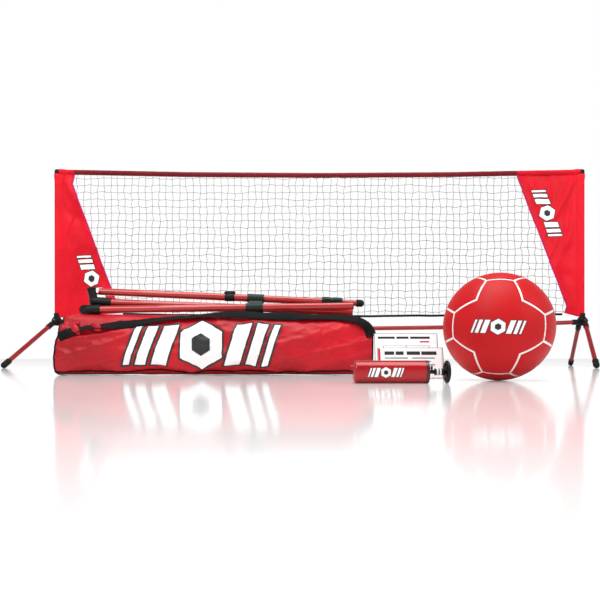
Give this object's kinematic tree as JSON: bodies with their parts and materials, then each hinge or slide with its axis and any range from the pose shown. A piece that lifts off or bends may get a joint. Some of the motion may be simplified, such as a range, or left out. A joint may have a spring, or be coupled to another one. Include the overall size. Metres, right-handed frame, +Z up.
{
  "type": "football-tennis net set",
  "caption": "Portable football-tennis net set: net with slanted banners on a folding tube frame, carry bag with a folded frame on it, ball, hand pump and leaflets.",
  "frame": {"origin": "middle of the floor area that the whole set covers, on the floor", "axes": "+X along the net to the right of its front, +Y from the pump back to the net, +Z up"},
  "size_m": [2.623, 2.0125, 0.9105],
  "materials": {
    "black_nylon": "satin",
    "red_tube": "gloss",
    "bare_steel": "satin",
    "sleeve_fabric": "satin",
    "net_twine": "matte",
    "binding_tape": "matte",
    "banner_satin": "satin",
    "foot_rubber": "matte",
    "collar_plastic": "satin",
    "clip_plastic": "satin",
    "plug_plastic": "satin",
    "bag_nylon": "satin",
    "black_webbing": "matte",
    "zip_metal": "satin",
    "ball_leather": "gloss",
    "bladder_rubber": "satin",
    "pump_gloss": "gloss",
    "pump_trim": "satin",
    "pump_black": "satin",
    "leaflet_paper": "satin"
  },
  "bodies": {
    "net_frame": {"hub_left": "black_nylon", "hub_right": "black_nylon", "upright_left": "red_tube", "upright_right": "red_tube", "corner_left": "black_nylon", "corner_right": "black_nylon", "bar_tube_1": "red_tube", "bar_tube_2": "red_tube", "bar_tube_3": "red_tube", "bar_tube_4": "red_tube", "top_tube_1": "red_tube", "top_tube_2": "red_tube", "top_tube_3": "red_tube", "top_tube_4": "red_tube", "tube_spigots": "bare_steel", "top_sleeve": "sleeve_fabric", "net_mesh": "net_twine", "bottom_binding": "binding_tape", "banner_left": "banner_satin", "banner_right": "banner_satin", "leg_pins": "bare_steel"},
    "front_left_leg_body": {"front_left_knuckle": "black_nylon", "front_left_leg": "red_tube", "front_left_foot": "foot_rubber"},
    "rear_left_leg_body": {"rear_left_knuckle": "black_nylon", "rear_left_leg": "red_tube", "rear_left_foot": "foot_rubber"},
    "front_right_leg_body": {"front_right_knuckle": "black_nylon", "front_right_leg": "red_tube", "front_right_foot": "foot_rubber"},
    "rear_right_leg_body": {"rear_right_knuckle": "black_nylon", "rear_right_leg": "red_tube", "rear_right_foot": "foot_rubber"},
    "bag": {"bag_shell": "bag_nylon", "bag_piping": "black_webbing", "bag_strap": "black_webbing", "zip_tape": "black_webbing"},
    "zip_slider_body": {"zip_slider": "zip_metal"},
    "folded_frame": {"stowed_elbow": "black_nylon", "stowed_hub": "black_nylon", "stowed_upright": "red_tube", "stowed_bar": "red_tube", "stowed_leg": "red_tube", "tube_clip": "clip_plastic", "tube_plugs": "plug_plastic"},
    "collar": {"twist_collar": "collar_plastic"},
    "telescopic_upright": {"telescopic_tube": "red_tube", "tube_end_cap": "foot_rubber"},
    "ball": {"ball_cover": "ball_leather", "ball_bladder": "bladder_rubber", "ball_valve": "bladder_rubber"},
    "pump": {"pump_barrel": "pump_gloss", "pump_cap": "pump_trim"},
    "pump_plunger": {"pump_piston": "pump_black", "pump_rod": "pump_black", "pump_handle": "pump_black"},
    "rear_leaflet": {"rear_leaflet_front": "leaflet_paper"},
    "rear_leaflet_flap": {"rear_leaflet_back": "leaflet_paper"},
    "front_leaflet": {"front_leaflet_back": "leaflet_paper"},
    "front_leaflet_flap": {"front_leaflet_front": "leaflet_paper"}
  },
  "joints": [
    {"name": "front_left_fold", "type": "hinge", "parent": "net_frame", "child": "front_left_leg_body", "pos_m": [-1.21, 0.65275, 0.207], "axis": [0, -0.561, 0.8278], "range_deg": [0, 103]},
    {"name": "rear_left_fold", "type": "hinge", "parent": "net_frame", "child": "rear_left_leg_body", "pos_m": [-1.21, 0.70675, 0.207], "axis": [0, -0.561, -0.8278], "range_deg": [0, 74]},
    {"name": "front_right_fold", "type": "hinge", "parent": "net_frame", "child": "front_right_leg_body", "pos_m": [1.21, 0.65275, 0.207], "axis": [0, 0.561, -0.8278], "range_deg": [0, 74]},
    {"name": "rear_right_fold", "type": "hinge", "parent": "net_frame", "child": "rear_right_leg_body", "pos_m": [1.21, 0.70675, 0.207], "axis": [0, 0.561, 0.8278], "range_deg": [0, 103]},
    {"name": "bag_lift", "type": "slide", "parent": "net_frame", "child": "bag", "axis": [0, 0, 1], "range_m": [0, 0.4]},
    {"name": "folded_frame_lift", "type": "slide", "parent": "bag", "child": "folded_frame", "axis": [0, 0, 1], "range_m": [0, 0.3]},
    {"name": "ball_lift", "type": "slide", "parent": "net_frame", "child": "ball", "axis": [0, 0, 1], "range_m": [0, 0.5]},
    {"name": "pump_lift", "type": "slide", "parent": "net_frame", "child": "pump", "axis": [0, 0, 1], "range_m": [0, 0.3]},
    {"name": "rear_leaflet_lift", "type": "slide", "parent": "net_frame", "child": "rear_leaflet", "axis": [0, 0, 1], "range_m": [0, 0.2]},
    {"name": "front_leaflet_lift", "type": "slide", "parent": "net_frame", "child": "front_leaflet", "axis": [0, 0, 1], "range_m": [0, 0.2]},
    {"name": "zip_slide", "type": "slide", "parent": "bag", "child": "zip_slider_body", "axis": [1, 0, 0], "range_m": [0, 0.58]},
    {"name": "collar_twist", "type": "hinge", "parent": "folded_frame", "child": "collar", "pos_m": [-0.004, -0.48325, 0.194], "axis": [0.999, 0, -0.045], "range_deg": [0, 90]},
    {"name": "upright_extend", "type": "slide", "parent": "folded_frame", "child": "telescopic_upright", "axis": [0.999, 0, -0.045], "range_m": [-0.035, 0.3]},
    {"name": "pump_stroke", "type": "slide", "parent": "pump", "child": "pump_plunger", "axis": [1, 0, 0], "range_m": [-0.005, 0.095]},
    {"name": "rear_leaflet_fold", "type": "hinge", "parent": "rear_leaflet", "child": "rear_leaflet_flap", "pos_m": [0.158, -0.67525, 0.10296], "axis": [1, 0, 0], "range_deg": [-23, 30]},
    {"name": "front_leaflet_fold", "type": "hinge", "parent": "front_leaflet", "child": "front_leaflet_flap", "pos_m": [0.158, -0.73025, 0.06872], "axis": [-1, 0, 0], "range_deg": [-23, 45]}
  ]
}
